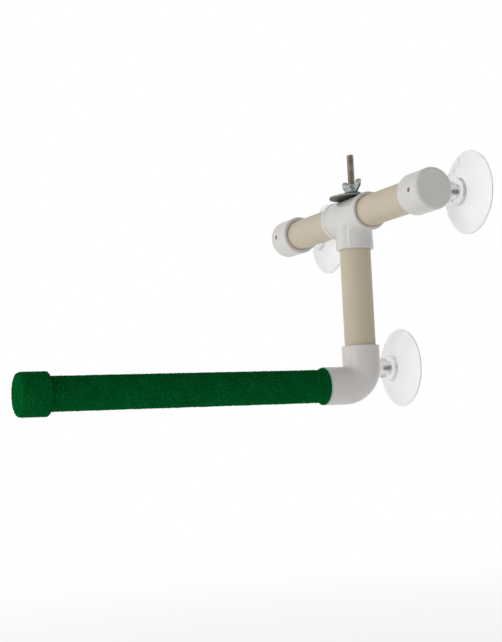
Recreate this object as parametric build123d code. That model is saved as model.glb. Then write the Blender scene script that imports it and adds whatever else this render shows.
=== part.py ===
from build123d import *
import math
import os

# Bird shower perch: a T of plastic pipe held to a wall by three suction cups.
# A drop tube swivels in the tee, and an elbow at its foot carries the grit-coated perch.
# Millimetres. +X runs along the crossbar, +Y points into the wall and +Z is up.
# The origin lies on the wall plane, midway between the two upper cups, level with the crossbar's axis.

# Pipe
tube_od = 26.7
tube_wall = 2.9

# Fits between pieces
cement_gap = 0.08
swivel_gap = 0.09
end_gap = 0.2
bond_gap = 0.02
stack_gap = 0.1
thread_gap = 0.05

# Tee and elbow
fitting_wall = 2.77
mouth_round = 0.7
socket_entry = 0.9
tee_reach = 29.6
tee_stop_lip = 0.6
tee_run_wall = 2.2
tee_branch_root_wall = 2.0
tee_crease_round = 2.0
tee_collar_wall = 3.1
tee_collar_length = 4.2
tee_collar_slope = 1.2
tee_collar_round = 0.8
elbow_drop_leg = 34.0
elbow_perch_leg = 38.0
elbow_inner_bend = 0.8
elbow_stop_lip = 1.0

# End caps
cap_wall = 3.57
cap_length = 29.0
cap_floor = 3.4
cap_edge_round = 2.6
perch_cap_length = 23.4
perch_cap_edge_round = 3.4

# Overall layout
cup_spacing = 237.6
cup_to_cap_end = 11.5
perch_drop = 147.0
perch_reach = 303.0
lower_cup_rise = 14.5

# Green grit coating on the perch
coat = 0.7
coat_bead_height = 1.9
coat_bead_length = 2.6
coat_bead_flat = 1.3
coat_bead_round = 0.6

# Suction cup, measured from its rim towards the fitting
cup_diameter = 67.2
cup_height = 22.4
cup_seat_gap = 0.3
cup_rim_land = 1.6
cup_rim_edge = 0.8
cup_hollow = 8.0
cup_skirt_rise = 9.6
cup_skirt_bulge = 0.8
cup_boss_diameter = 22.6
cup_boss_length = 2.8
cup_boss_taper = 0.8
cup_neck_diameter = 11.6
cup_knob_diameter = 17.0
cup_knob_length = 5.6
cup_knob_round = 1.3

# Threaded stud of each cup
stud_diameter = 4.0
stud_pitch = 0.7
stud_in_cup = 12.0
stud_past_wall = 3.3

# Swivel bolt, its plug, washers and wing nut
bolt_diameter = 6.35
bolt_pitch = 1.27
bolt_length = 82.55
bolt_head_flats = 11.1
bolt_head_height = 4.0
bolt_head_chamfer = 0.5
plug_flange = 2.0
plug_body = 10.6
washer_bore = 7.1
washer_thickness = 1.6
flat_washer_diameter = 15.9
fender_washer_diameter = 40.0
spring_washer_diameter = 11.8
spring_washer_split = 1.2
nut_hub_diameter = 11.4
nut_hub_top_diameter = 9.0
nut_hub_height = 7.0
nut_height = 10.9
nut_span = 25.0
nut_wing_thickness = 2.4
nut_wing_height = 5.2
nut_wing_width = 5.2
nut_wing_foot = 1.2
nut_wing_foot_reach = 1.6
nut_wing_round = 2.0
nut_rest_turn = 9.0

# Share of the pitch taken by a thread's depth, its crest and its root
thread_depth_share = 0.54
thread_crest_share = 0.2
thread_root_share = 0.15

# Radii that follow from the fits
tube_r = tube_od / 2
tube_bore_r = tube_r - tube_wall
socket_r = tube_r + cement_gap
swivel_socket_r = tube_r + swivel_gap
fitting_r = socket_r + fitting_wall
tee_run_r = socket_r + tee_run_wall
tee_collar_r = socket_r + tee_collar_wall
tee_branch_root_r = socket_r + tee_branch_root_wall
cap_r = socket_r + cap_wall
stud_hole_r = stud_diameter / 2 + thread_gap
coated_tube_r = tube_r + coat
coated_cap_r = cap_r + coat

# Places that follow from the layout
wall_to_axis = cap_r + cup_seat_gap + cup_height
cup_x = cup_spacing / 2
cap_end_x = cup_x + cup_to_cap_end
tee_stop = swivel_socket_r + tee_stop_lip
elbow_bend = fitting_r + elbow_inner_bend
elbow_stop = elbow_bend + elbow_stop_lip
perch_cap_mouth = perch_reach - perch_cap_length
lower_cup_z = lower_cup_rise - perch_drop
plug_top = -tee_stop - end_gap
drop_tube_top = plug_top - plug_flange
drop_tube_foot = elbow_stop + end_gap - perch_drop
bolt_seat = drop_tube_top - plug_body - washer_thickness
fender_seat = tee_run_r + bond_gap
spring_washer_seat = fender_seat + washer_thickness + bond_gap
flat_washer_seat = spring_washer_seat + washer_thickness + stack_gap
nut_seat = flat_washer_seat + washer_thickness + stack_gap


def rounded_face(corners, rounds=()):
    """Flat face through the corners; rounds pairs a corner's index with its radius."""
    face = make_face(Polyline(*corners, close=True))
    for index, radius in rounds:
        corner = face.vertices().sort_by_distance(corners[index])[0]
        face = fillet(corner, radius)
    return face


def turned(corners, rounds=()):
    """Solid turned about +Z from (radius, height) corners."""
    return revolve(Plane.XZ * rounded_face(corners, rounds), Axis.Z)


def ring(outer_r, inner_r, low, high):
    """Plain ring about +Z between two heights."""
    return turned([(inner_r, low), (outer_r, low), (outer_r, high), (inner_r, high)])


def rod(radius, low, high):
    """Plain cylinder about +Z between two heights."""
    return Pos(0, 0, (low + high) / 2) * Cylinder(radius, high - low)


def socket(radius, stop, mouth):
    """Space of a socket about +Z, from its stop to the flared entry at its mouth."""
    entry_foot = mouth - socket_entry
    return turned([(0, stop), (radius, stop), (radius, entry_foot), (radius + socket_entry, mouth), (0, mouth)])


def threaded_rod(diameter, pitch, length):
    """Rod about +Z from height 0, with a ring groove at each pitch and chamfered ends."""
    crest_r = diameter / 2
    root_r = crest_r - thread_depth_share * pitch
    outline = [(0, 0), (root_r, 0)]
    turns = int(length / pitch)
    margin = (length - turns * pitch) / 2
    for turn in range(turns):
        base = margin + turn * pitch
        flank = (1 - thread_crest_share - thread_root_share) / 2
        outline.append((root_r, base + thread_root_share * pitch / 2))
        outline.append((crest_r, base + (thread_root_share / 2 + flank) * pitch))
        outline.append((crest_r, base + (thread_root_share / 2 + flank + thread_crest_share) * pitch))
        outline.append((root_r, base + (1 - thread_root_share / 2) * pitch))
    outline += [(root_r, length), (0, length)]
    return turned(outline)


def along_x(shape, sign=1):
    """Turn a shape about +Z so that its axis runs along +X, or along -X for a sign of -1."""
    return Rot(0, 90 * sign, 0) * shape


def to_front(shape):
    """Turn a shape about +Z so that its axis runs along -Y."""
    return Rot(90, 0, 0) * shape


def at_crossbar(shape):
    """Place a shape made about the tee's centre."""
    return Pos(0, -wall_to_axis, 0) * shape


def at_elbow(shape):
    """Place a shape made about the elbow's centre."""
    return Pos(0, -wall_to_axis, -perch_drop) * shape


def on_wall(shape, x, z):
    """Place a shape made about +Z so that its foot is on the wall plane and its axis points to the front."""
    return Pos(x, 0, z) * to_front(shape)


def leg(foot_r, mouth_r, reach):
    """Solid leg of a fitting about +Z, from height 0 to its rounded mouth."""
    return turned([(0, 0), (foot_r, 0), (mouth_r, reach), (0, reach)], ((2, mouth_round),))


def tee_half():
    """Solid half of the tee's run about +Z, with the collar at its mouth."""
    collar_foot = tee_reach - tee_collar_length
    corners = [(0, 0), (tee_run_r, 0), (tee_run_r, collar_foot - tee_collar_slope)]
    corners += [(tee_collar_r, collar_foot), (tee_collar_r, tee_reach), (0, tee_reach)]
    return turned(corners, ((2, tee_collar_round), (3, tee_collar_round), (4, mouth_round)))


def make_tee():
    """Tee: the crossbar tubes are cemented in its run, and the drop tube turns in its branch."""
    branch = Rot(180, 0, 0) * leg(tee_branch_root_r, fitting_r, tee_reach)
    body = along_x(tee_half()) + along_x(tee_half(), -1) + branch
    crease = [edge for edge in body.edges() if edge.geom_type == GeomType.BSPLINE]
    body = fillet(crease, tee_crease_round)
    body -= along_x(rod(tube_bore_r, -tee_reach, tee_reach))
    body -= rod(tube_bore_r, -tee_reach, 0)
    body -= along_x(socket(socket_r, tee_stop, tee_reach))
    body -= along_x(socket(socket_r, tee_stop, tee_reach), -1)
    body -= Rot(180, 0, 0) * socket(swivel_socket_r, tee_stop, tee_reach)
    body -= rod(washer_bore / 2, 0, tee_collar_r)
    return at_crossbar(body)


def elbow_bar(radius):
    """Round bar about the elbow's path: down the drop leg, round the bend and out along the perch leg."""
    bend_circle = Pos(0, 0, elbow_bend) * Circle(radius)
    bend_axis = Axis((0, -elbow_bend, elbow_bend), (-1, 0, 0))
    bend = revolve(bend_circle, bend_axis, 90)
    drop = rod(radius, elbow_bend, elbow_drop_leg)
    return drop + bend + to_front(rod(radius, elbow_bend, elbow_perch_leg))


def is_mouth(edge):
    """Whether an edge is the circle round one of the elbow's two mouths."""
    top = edge.bounding_box().min.Z > elbow_drop_leg - bond_gap
    front = edge.bounding_box().max.Y < bond_gap - elbow_perch_leg
    return top or front


def make_elbow():
    """Elbow at the foot of the drop tube, drilled at the back for the lower cup's stud."""
    body = elbow_bar(fitting_r)
    mouths = [edge for edge in body.edges() if is_mouth(edge)]
    body = fillet(mouths, mouth_round) - elbow_bar(tube_bore_r)
    body -= socket(socket_r, elbow_stop, elbow_drop_leg)
    body -= to_front(socket(socket_r, elbow_stop, elbow_perch_leg))
    body -= Pos(0, 0, lower_cup_rise) * to_front(rod(stud_hole_r, -fitting_r, 0))
    return at_elbow(body)


def make_cap(length, edge_round):
    """Slip cap about +Z with its mouth at height 0."""
    outline = [(0, length), (0, length - cap_floor), (socket_r, length - cap_floor)]
    outline += [(socket_r, socket_entry), (socket_r + socket_entry, 0), (cap_r, 0), (cap_r, length)]
    return turned(outline, ((6, edge_round), (5, mouth_round)))


def drill_for_cup(shape, x):
    """Hole for a cup's stud, drilled right through from front to back."""
    return shape - Pos(x, 0, 0) * to_front(rod(stud_hole_r, -cap_r, cap_r))


def make_crossbar_side(sign):
    """One crossbar tube and its end cap; sign is -1 for the left and 1 for the right."""
    cap = along_x(Pos(0, 0, cap_end_x - cap_length) * make_cap(cap_length, cap_edge_round), sign)
    tube = along_x(ring(tube_r, tube_bore_r, tee_stop + end_gap, cap_end_x - cap_floor - end_gap), sign)
    return at_crossbar(drill_for_cup(tube, sign * cup_x)), at_crossbar(drill_for_cup(cap, sign * cup_x))


def make_drop_tube():
    """Drop tube, from under the plug's flange down into the elbow."""
    return at_crossbar(ring(tube_r, tube_bore_r, drop_tube_foot, drop_tube_top))


def make_swivel_plug():
    """Flanged plug cemented into the top of the drop tube; the bolt hangs from it."""
    body_r = tube_bore_r - cement_gap
    bore_r = washer_bore / 2
    foot = drop_tube_top - plug_body
    outline = [(bore_r, foot), (body_r, foot), (body_r, drop_tube_top), (tube_r, drop_tube_top)]
    outline += [(tube_r, plug_top), (bore_r, plug_top)]
    return at_crossbar(turned(outline))


def make_bolt():
    """Hex-headed swivel bolt, standing up through the plug, the tee and the washers."""
    hexagon = RegularPolygon(bolt_head_flats / 2, 6, major_radius=False)
    corner_r = bolt_head_flats / 2 / math.cos(math.radians(30))
    foot = -bolt_head_height
    crown_corners = [(0, foot), (corner_r - bolt_head_chamfer, foot)]
    crown_corners += [(corner_r, foot + bolt_head_chamfer), (corner_r, 0), (0, 0)]
    crown = turned(crown_corners)
    head = extrude(Pos(0, 0, foot) * hexagon, bolt_head_height) & crown
    shank = threaded_rod(bolt_diameter, bolt_pitch, bolt_length)
    return at_crossbar(Pos(0, 0, bolt_seat) * (head + shank))


def make_washer(diameter, seat):
    """Flat washer on the bolt with its lower face at the given height."""
    return at_crossbar(ring(diameter / 2, washer_bore / 2, seat, seat + washer_thickness))


def make_spring_washer():
    """Split spring washer between the fender washer and the flat washer."""
    washer = make_washer(spring_washer_diameter, spring_washer_seat)
    split = Box(spring_washer_diameter, spring_washer_split, washer_thickness)
    split = Pos(-spring_washer_diameter / 2, 0, spring_washer_seat + washer_thickness / 2) * split
    return washer - at_crossbar(split)


def make_wing():
    """Wing of the nut that points along +X, leaning outwards as it rises."""
    tip = nut_span / 2
    root = bolt_diameter / 2 + thread_gap
    corners = [
        (root, nut_wing_foot),
        (nut_hub_diameter / 2 + nut_wing_foot_reach, nut_wing_foot),
        (tip, nut_height - nut_wing_height),
        (tip, nut_height),
        (tip - nut_wing_width, nut_height),
        (nut_hub_top_diameter / 2, nut_hub_height),
        (root, nut_hub_height),
    ]
    rounds = ((2, nut_wing_round), (3, nut_wing_round), (4, nut_wing_round))
    return extrude(Plane.XZ * rounded_face(corners, rounds), nut_wing_thickness / 2, both=True)


def make_wing_nut():
    """Wing nut; its wings stand a little off the crossbar's line."""
    bore_r = bolt_diameter / 2 + thread_gap
    hub_corners = [(0, 0), (nut_hub_diameter / 2, 0)]
    hub_corners += [(nut_hub_top_diameter / 2, nut_hub_height), (0, nut_hub_height)]
    hub = turned(hub_corners)
    nut = hub + make_wing() + Rot(0, 0, 180) * make_wing() - rod(bore_r, 0, nut_height)
    return at_crossbar(Pos(0, 0, nut_seat) * Rot(0, 0, nut_rest_turn) * nut)


def make_perch_tube():
    """Perch tube, from the elbow's stop to the floor of the perch cap."""
    end = perch_reach - cap_floor - end_gap
    return at_elbow(to_front(ring(tube_r, tube_bore_r, elbow_stop + end_gap, end)))


def make_perch_cap():
    """Cap on the free end of the perch."""
    return at_elbow(to_front(Pos(0, 0, perch_cap_mouth) * make_cap(perch_cap_length, perch_cap_edge_round)))


def make_tube_coating():
    """Grit coating on the perch tube, with the bead that it forms against the elbow."""
    start = elbow_perch_leg + bond_gap
    end = perch_cap_mouth - coat - bond_gap
    inner_r = tube_r + bond_gap
    bead_r = coated_tube_r + coat_bead_height
    outline = [(inner_r, start), (bead_r, start), (bead_r, start + coat_bead_flat)]
    outline += [(coated_tube_r, start + coat_bead_length), (coated_tube_r, end), (inner_r, end)]
    rounds = ((1, coat_bead_round), (2, coat_bead_round), (3, coat_bead_round))
    return at_elbow(to_front(turned(outline, rounds)))


def make_cap_coating():
    """Grit coating on the perch cap: over its mouth, its side and its end."""
    mouth = perch_cap_mouth - coat
    skin_r = cap_r + bond_gap
    end = perch_reach + bond_gap
    outline = [(tube_r + bond_gap, mouth), (coated_cap_r, mouth), (coated_cap_r, perch_reach + coat)]
    outline += [(0, perch_reach + coat), (0, end), (skin_r, end)]
    outline += [(skin_r, perch_cap_mouth - bond_gap), (tube_r + bond_gap, perch_cap_mouth - bond_gap)]
    rounds = ((1, mouth_round + coat), (2, perch_cap_edge_round + coat), (5, perch_cap_edge_round))
    rounds += ((6, mouth_round),)
    return at_elbow(to_front(turned(outline, rounds)))


def make_cup():
    """Suction cup about +Z: rim at height 0, then skirt, boss, neck and knob, with the stud's blind hole."""
    rim_r = cup_diameter / 2
    land_r = rim_r - cup_rim_land
    boss_r = cup_boss_diameter / 2
    boss_top = cup_skirt_rise + cup_boss_length
    knob_foot = cup_height - cup_knob_length
    hole_floor = cup_height - stud_in_cup
    middle = ((rim_r + boss_r) / 2, (cup_rim_edge + cup_skirt_rise) / 2 + cup_skirt_bulge)
    hollow = TangentArc((0, cup_hollow), (land_r, 0), tangent=(1, 0))
    skirt = ThreePointArc((rim_r, cup_rim_edge), middle, (boss_r, cup_skirt_rise))
    rim = Polyline((land_r, 0), (rim_r, 0), (rim_r, cup_rim_edge))
    crown = Polyline(
        (boss_r, cup_skirt_rise),
        (boss_r - cup_boss_taper, boss_top),
        (cup_neck_diameter / 2, boss_top),
        (cup_neck_diameter / 2, knob_foot),
        (cup_knob_diameter / 2, knob_foot),
        (cup_knob_diameter / 2, cup_height),
        (stud_hole_r, cup_height),
        (stud_hole_r, hole_floor),
        (0, hole_floor),
        (0, cup_hollow),
    )
    face = make_face([hollow, rim, skirt, crown])
    for height in (knob_foot, cup_height):
        corner = face.vertices().sort_by_distance((cup_knob_diameter / 2, height))[0]
        face = fillet(corner, cup_knob_round)
    return revolve(Plane.XZ * face, Axis.Z)


def make_stud(foot):
    """Threaded stud about +Z: its foot is in the cup and its head is past the wall of the fitting."""
    length = stud_in_cup - bond_gap + foot
    return Pos(0, 0, cup_height - stud_in_cup + bond_gap) * threaded_rod(stud_diameter, stud_pitch, length)


nodes = {}
nodes["tee_fitting"] = make_tee()
nodes["crossbar_tube_left"], nodes["end_cap_left"] = make_crossbar_side(-1)
nodes["crossbar_tube_right"], nodes["end_cap_right"] = make_crossbar_side(1)
nodes["drop_tube"] = make_drop_tube()
nodes["swivel_plug"] = make_swivel_plug()
nodes["swivel_bolt"] = make_bolt()
nodes["bolt_head_washer"] = make_washer(flat_washer_diameter, bolt_seat)
nodes["fender_washer"] = make_washer(fender_washer_diameter, fender_seat)
nodes["spring_washer"] = make_spring_washer()
nodes["flat_washer"] = make_washer(flat_washer_diameter, flat_washer_seat)
nodes["wing_nut"] = make_wing_nut()
nodes["elbow_fitting"] = make_elbow()
nodes["perch_tube"] = make_perch_tube()
nodes["perch_end_cap"] = make_perch_cap()
nodes["perch_tube_coating"] = make_tube_coating()
nodes["perch_cap_coating"] = make_cap_coating()

# Each cup sits on its fitting; the stud passes the fitting's wall and ends just inside it.
cap_stud_foot = cup_seat_gap + cap_wall + cement_gap + tube_wall + stud_past_wall
elbow_stud_foot = wall_to_axis - cup_height - tube_bore_r + stud_past_wall
for name, x, z, foot in (
    ("left", -cup_x, 0, cap_stud_foot),
    ("right", cup_x, 0, cap_stud_foot),
    ("lower", 0, lower_cup_z, elbow_stud_foot),
):
    nodes["suction_cup_" + name] = on_wall(make_cup(), x, z)
    nodes["cup_stud_" + name] = on_wall(make_stud(foot), x, z)

os.makedirs("parts", exist_ok=True)
for node, solid in nodes.items():
    export_step(solid, "parts/" + node + ".step")
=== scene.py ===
"""Bird shower perch, dressed for rendering.

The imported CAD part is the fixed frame. The plastic pipe and its fittings keep their CAD meshes
and get moulded and extruded finishes. The suction cups, threads, washers, wing nut and grit
coating are built here. All lengths are metres, in the frame of the CAD part: the origin is on
the wall plane, +X runs along the crossbar, +Y points into the wall and +Z is up.
"""

import logging
import math
from dataclasses import dataclass
from enum import Enum

import bmesh
import bpy
from bmesh.types import BMesh, BMVert
from bpy.types import Material, Mesh, Node, NodeSocket, NodeTree, Object
from mathutils import Matrix, Vector, noise


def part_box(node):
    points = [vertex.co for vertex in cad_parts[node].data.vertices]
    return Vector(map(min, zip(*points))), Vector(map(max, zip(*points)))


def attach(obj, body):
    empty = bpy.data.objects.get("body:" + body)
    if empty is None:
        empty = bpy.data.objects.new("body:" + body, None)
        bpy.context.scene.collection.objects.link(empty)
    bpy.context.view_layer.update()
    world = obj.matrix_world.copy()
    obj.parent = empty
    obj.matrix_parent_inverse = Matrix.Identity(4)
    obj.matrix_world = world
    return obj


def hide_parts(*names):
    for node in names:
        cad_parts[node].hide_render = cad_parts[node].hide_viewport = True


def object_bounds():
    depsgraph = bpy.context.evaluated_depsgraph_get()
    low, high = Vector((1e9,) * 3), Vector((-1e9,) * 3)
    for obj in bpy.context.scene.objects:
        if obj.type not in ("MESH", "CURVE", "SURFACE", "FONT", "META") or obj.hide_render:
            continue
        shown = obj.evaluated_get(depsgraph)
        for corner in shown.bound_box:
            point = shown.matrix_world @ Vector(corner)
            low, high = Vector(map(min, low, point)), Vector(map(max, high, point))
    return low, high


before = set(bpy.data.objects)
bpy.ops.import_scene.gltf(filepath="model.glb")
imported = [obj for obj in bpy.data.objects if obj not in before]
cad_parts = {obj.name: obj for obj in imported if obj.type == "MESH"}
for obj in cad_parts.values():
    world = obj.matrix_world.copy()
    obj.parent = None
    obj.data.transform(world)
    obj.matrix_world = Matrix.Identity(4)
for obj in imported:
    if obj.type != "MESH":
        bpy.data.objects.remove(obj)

CAD_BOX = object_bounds()
WALL_TO_AXIS = 0.0397
MM = 0.001
ON_AXIS = 1e-7
SIDE_SHARE = 0.49
CRISP_ANGLE = 38.0
FULL = (0.0, 1.0)
MIDDLE = (0.3, 0.7)
PLASTIC_IOR = 1.53
WHITE = (1.0, 1.0, 1.0, 1.0)
LOOKING_RAYS = ("Is Glossy Ray", "Is Transmission Ray")
logger = logging.getLogger("shower_perch")

Pair = tuple[float, float]
Triple = tuple[float, float, float]
Colour = tuple[float, float, float, float]
Value = NodeSocket | float | int | Colour | Triple


class Body(Enum):
    """CAD bodies that the pieces ride on."""

    CROSSBAR = "crossbar_frame"
    ARM = "perch_arm"
    WASHER = "nut_washer"
    NUT = "nut"


class Slot(Enum):
    """Material slots of the record."""

    GREEN_GRIT = "green_grit"
    CLEAR_CUP = "clear_cup"
    DULL_STEEL = "dull_steel"
    ZINC_STEEL = "zinc_steel"
    DARK_STEEL = "dark_steel"


class Spindle(Enum):
    """Where a turned piece's axis points: up, or out of the wall."""

    UP = 0
    FRONT = 90


class Surface:
    """A material under construction: a Principled shader and the pattern nodes that feed it."""

    def __init__(self, name: str) -> None:
        """Start a material with its shader alone.

        Args:
            name: Name of the material.
        """
        self.material: Material = bpy.data.materials.new(name)
        self.material.use_nodes = True
        self.shader = self.material.node_tree.nodes["Principled BSDF"]
        self.place = self.add("ShaderNodeTexCoord").outputs["Object"]

    def add(self, kind: str, **settings: object) -> Node:
        """Add a node.

        Args:
            kind: Blender's name for the node's type.
            settings: Properties of the node and their values.

        Returns:
            The new node.
        """
        node = self.material.node_tree.nodes.new(kind)
        for key, value in settings.items():
            setattr(node, key, value)
        return node

    def put(self, socket: NodeSocket, value: Value) -> None:
        """Link an output to an input socket, or set the socket's own value.

        Args:
            socket: The input.
            value: An output socket, or a plain value.
        """
        if isinstance(value, NodeSocket):
            self.material.node_tree.links.new(value, socket)
        else:
            socket.default_value = value

    def feed(self, node: Node, **inputs: Value) -> Node:
        """Feed a node's inputs, each named in lower case with underscores.

        Args:
            node: The node to feed.
            inputs: An output socket to link, or a plain value, for each input.

        Returns:
            The same node.
        """
        for socket in node.inputs:
            name = socket.name.lower().replace(" ", "_")
            if name in inputs and socket.enabled:
                self.put(socket, inputs[name])
        return node

    def mapped(self, scale: Triple) -> NodeSocket:
        """Object coordinates, scaled along each axis."""
        node = self.add("ShaderNodeMapping")
        return self.feed(node, vector=self.place, scale=scale).outputs["Vector"]

    def noise(
        self, scale: float, detail: float = 3, rough: float = 0.5, place: NodeSocket | None = None
    ) -> NodeSocket:
        """Soft noise from 0 to 1.

        Args:
            scale: Lumps to the metre.
            detail: Finer layers on top of the first.
            rough: Strength of the finer layers.
            place: Coordinates to read, or the object's own.

        Returns:
            The noise's value.
        """
        node = self.add("ShaderNodeTexNoise")
        self.feed(node, vector=place or self.place, scale=scale, detail=detail, roughness=rough)
        return node.outputs["Fac"]

    def levels(self, value: NodeSocket, start: Pair, end: Pair) -> NodeSocket:
        """Spread a value from one range to another, and clamp it.

        Args:
            value: The value.
            start: Its range before.
            end: Its range after.

        Returns:
            The spread value.
        """
        (low, high), (to_low, to_high) = start, end
        node = self.add("ShaderNodeMapRange")
        self.feed(node, value=value, from_min=low, from_max=high, to_min=to_low, to_max=to_high)
        return node.outputs["Result"]

    def mix(self, share: Value, first: Value, second: Value) -> NodeSocket:
        """Mix two colours by a share from 0 to 1."""
        node = self.add("ShaderNodeMix", data_type="RGBA")
        return self.feed(node, factor=share, a=first, b=second).outputs["Result"]

    def work(self, operation: str, *values: Value) -> NodeSocket:
        """One arithmetic step.

        Args:
            operation: Blender's name for the step.
            values: Its values, as many as the step takes.

        Returns:
            The result.
        """
        node = self.add("ShaderNodeMath", operation=operation)
        for socket, value in zip(node.inputs, values):
            self.put(socket, value)
        return node.outputs["Value"]

    def axis(self, letter: str) -> NodeSocket:
        """One of the object's coordinates."""
        return self.feed(self.add("ShaderNodeSeparateXYZ"), vector=self.place).outputs[letter]

    def bump(self, height: NodeSocket, depth: float, under: NodeSocket | None = None) -> NodeSocket:
        """Bump from a height of 0 to 1.

        Args:
            height: The height.
            depth: How deep a height of 1 is, in metres.
            under: Normal of another bump that this one lies on.

        Returns:
            The bumped normal.
        """
        node = self.feed(self.add("ShaderNodeBump"), height=height, distance=depth, strength=1.0)
        if under is not None:
            self.feed(node, normal=under)
        return node.outputs["Normal"]


def spread(low: float, width: float) -> Pair:
    """Range that starts at a value and is so wide."""
    return (low, low + width)


@dataclass(frozen=True)
class MouldedVinyl:
    """White injection-moulded pipe fitting: faintly mottled, with a fine satin skin."""

    name: str
    colour: Colour = (0.70, 0.695, 0.665, 1.0)
    stain: Colour = (0.655, 0.645, 0.605, 1.0)
    rough: float = 0.30
    rough_spread: float = 0.12
    mottle_scale: float = 55
    mottle_range: Pair = (0.35, 0.75)
    sheen_scale: float = 420
    skin_scale: float = 1100
    skin_depth: float = 0.025 * MM
    swell_scale: float = 60
    swell_depth: float = 0.25 * MM

    def surface(self) -> Surface:
        """Build the finish with no marks on it.

        Returns:
            The material under construction.
        """
        surface = Surface(self.name)
        mottle = surface.levels(surface.noise(self.mottle_scale, 4), self.mottle_range, FULL)
        sheen = surface.noise(self.sheen_scale)
        rough = surface.levels(sheen, MIDDLE, spread(self.rough, self.rough_spread))
        skin = surface.bump(surface.noise(self.skin_scale, 2), self.skin_depth)
        swell = surface.bump(surface.noise(self.swell_scale, 1), self.swell_depth, skin)
        shade = surface.mix(mottle, self.colour, self.stain)
        surface.feed(surface.shader, base_color=shade, roughness=rough, normal=swell)
        surface.feed(surface.shader, ior=PLASTIC_IOR, specular_ior_level=0.5)
        return surface

    def material(self) -> Material:
        """Build the material."""
        return self.surface().material


@dataclass(frozen=True)
class OversprayedVinyl(MouldedVinyl):
    """Moulded fitting whose perch mouth caught some of the grit's paint."""

    paint: Colour = (0.30, 0.50, 0.37, 1.0)
    mouth_y: float = -0.0777
    reach: float = 2.2 * MM
    edge_scale: float = 420
    edge_rough: float = 0.7

    def material(self) -> Material:
        """Build the material.

        Returns:
            The material.
        """
        surface = self.surface()
        shade = surface.shader.inputs["Base Color"].links[0].from_socket
        ragged = surface.noise(self.edge_scale, 3, self.edge_rough)
        edge = surface.work("MULTIPLY_ADD", ragged, self.reach, self.mouth_y)
        near = surface.work("LESS_THAN", surface.axis("Y"), edge)
        surface.feed(surface.shader, base_color=surface.mix(near, shade, self.paint))
        return surface.material


@dataclass(frozen=True)
class ExtrudedTube:
    """Tan extruded pipe with fine lines along its length."""

    name: str
    stretch: Triple
    colour: Colour = (0.615, 0.53, 0.41, 1.0)
    shade: Colour = (0.575, 0.49, 0.375, 1.0)
    rough: float = 0.40
    rough_spread: float = 0.14
    line_scale: float = 650
    line_depth: float = 0.05 * MM
    line_range: Pair = (0.25, 0.75)
    line_shade: Pair = (0.0, 0.35)
    cloud_scale: float = 40

    def material(self) -> Material:
        """Build the material.

        Returns:
            The material.
        """
        surface = Surface(self.name)
        lines = surface.noise(self.line_scale, 3, 0.6, surface.mapped(self.stretch))
        cloud = surface.levels(surface.noise(self.cloud_scale), MIDDLE, FULL)
        tone = surface.mix(cloud, self.colour, self.shade)
        streak = surface.levels(lines, self.line_range, self.line_shade)
        tone = surface.mix(streak, tone, self.shade)
        rough = surface.levels(lines, MIDDLE, spread(self.rough, self.rough_spread))
        ribbed = surface.bump(lines, self.line_depth)
        surface.feed(surface.shader, base_color=tone, roughness=rough, normal=ribbed)
        surface.feed(surface.shader, ior=PLASTIC_IOR, specular_ior_level=0.4)
        return surface.material


@dataclass(frozen=True)
class GritPaint:
    """Deep green paint over grit, with painted shade in the pits and a painted highlight on the
    grains, both following the grit's bump height.
    """

    name: str
    # Colours of the painted shade in the pits and of the painted highlight on the crests.
    pit_shade: Colour
    crest_highlight: Colour
    lumps: float = 1000.0
    depth: float = 0.3 * MM
    shade_to_highlight_range: Pair = (0.34, 0.66)
    patch_scale: float = 70
    patch_shade: Pair = (0.0, 0.35)
    rough: Pair = (0.85, 0.6)

    def material(self) -> Material:
        """Build the material.

        Returns:
            The material.
        """
        surface = Surface(self.name)
        grit = surface.noise(self.lumps, 2, 0.6)
        patch = surface.levels(surface.noise(self.patch_scale, 2), MIDDLE, self.patch_shade)
        # Painted shade and highlight: the colour runs from the pit shade up to the crest highlight
        # with the grit height that drives the bump; random patches lean back to the pit shade.
        share = surface.levels(grit, self.shade_to_highlight_range, FULL)
        tone = surface.mix(patch, surface.mix(share, self.pit_shade, self.crest_highlight), self.pit_shade)
        rough = surface.levels(grit, MIDDLE, self.rough)
        gritty = surface.bump(grit, self.depth)
        surface.feed(surface.shader, base_color=tone, roughness=rough, normal=gritty)
        surface.feed(surface.shader, specular_ior_level=0.0)
        return surface.material


@dataclass(frozen=True)
class ClearVinyl:
    """Clear soft vinyl with a faint milky haze and soft ripples."""

    name: str = "clear_vinyl"
    colour: Colour = (0.96, 0.955, 0.955, 1.0)
    rough: float = 0.3
    rough_spread: float = 0.08
    clear: float = 0.91
    ior: float = 1.40
    ripple_scale: float = 30
    ripple_depth: float = 0.4 * MM
    haze_scale: float = 120

    def material(self) -> Material:
        """Build the material.

        Returns:
            The material.
        """
        surface = Surface(self.name)
        ripple = surface.bump(surface.noise(self.ripple_scale, 0), self.ripple_depth)
        haze = surface.noise(self.haze_scale)
        rough = surface.levels(haze, MIDDLE, spread(self.rough, self.rough_spread))
        surface.feed(surface.shader, base_color=self.colour, roughness=rough, normal=ripple)
        surface.feed(surface.shader, ior=self.ior, transmission_weight=self.clear)
        return surface.material


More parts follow.
